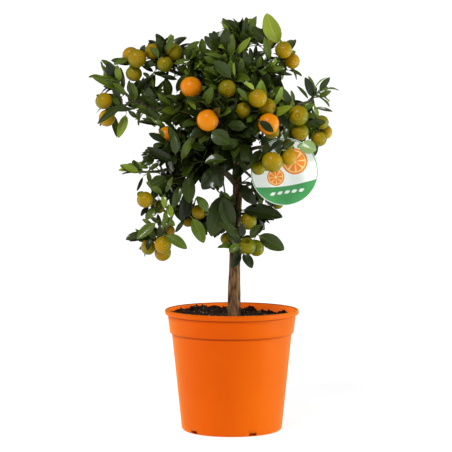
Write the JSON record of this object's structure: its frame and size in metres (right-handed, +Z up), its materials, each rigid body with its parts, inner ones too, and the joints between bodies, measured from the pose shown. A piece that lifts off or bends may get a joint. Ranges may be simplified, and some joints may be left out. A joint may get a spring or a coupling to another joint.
{
  "type": "calamondin orange tree in a pot",
  "caption": "Small calamondin orange tree in fruit, with a slim trunk, glossy leaves and a round hanging tag, grown in a tapered plastic nursery pot.",
  "frame": {"origin": "centre of the pot's flat underside", "axes": "+Z up along the pot's axis, -Y towards the side that the tag hangs on, +X to the right of that side"},
  "size_m": [0.348, 0.2636, 0.589],
  "materials": {
    "pot_plastic": "satin",
    "compost": "matte",
    "bark": "matte",
    "foliage": "satin",
    "fruit": "satin",
    "tag_card": "satin",
    "tie_plastic": "satin"
  },
  "bodies": {
    "root": {"pot": "pot_plastic", "compost": "compost", "trunk": "bark", "bough_left": "bark", "bough_left_high": "bark", "bough_top_right": "bark", "bough_right": "bark", "bough_right_low": "bark", "bough_front": "bark", "bough_low_left": "bark", "bough_hanging": "bark", "bough_back_left": "bark", "bough_back_right": "bark", "bough_back": "bark", "mass_left_high_outer": "foliage", "mass_left_high_inner": "foliage", "mass_left_far_top": "foliage", "mass_left_far_low": "foliage", "mass_left_middle": "foliage", "mass_left_inner": "foliage", "mass_left_core": "foliage", "mass_top_left": "foliage", "mass_top": "foliage", "mass_top_right": "foliage", "mass_top_outer": "foliage", "mass_upper_core": "foliage", "mass_upper_right": "foliage", "mass_right_tip": "foliage", "mass_right": "foliage", "mass_right_outer": "foliage", "mass_right_inner": "foliage", "mass_right_low": "foliage", "mass_front": "foliage", "mass_front_low": "foliage", "mass_core_low": "foliage", "mass_low_left_top": "foliage", "mass_low_left_tip": "foliage", "mass_low_left": "foliage", "mass_hanging_top": "foliage", "mass_hanging_foot": "foliage", "mass_hanging_inner": "foliage", "mass_trunk_left": "foliage", "mass_trunk_right": "foliage", "mass_trunk_foot": "foliage", "mass_right_under": "foliage", "mass_back_left": "foliage", "mass_back_top": "foliage", "mass_back_right": "foliage", "mass_back": "foliage", "mass_back_low": "foliage", "mass_back_low_right": "foliage", "plant_tag": "tag_card", "tag_tie": "tie_plastic"}
  },
  "joints": []
}
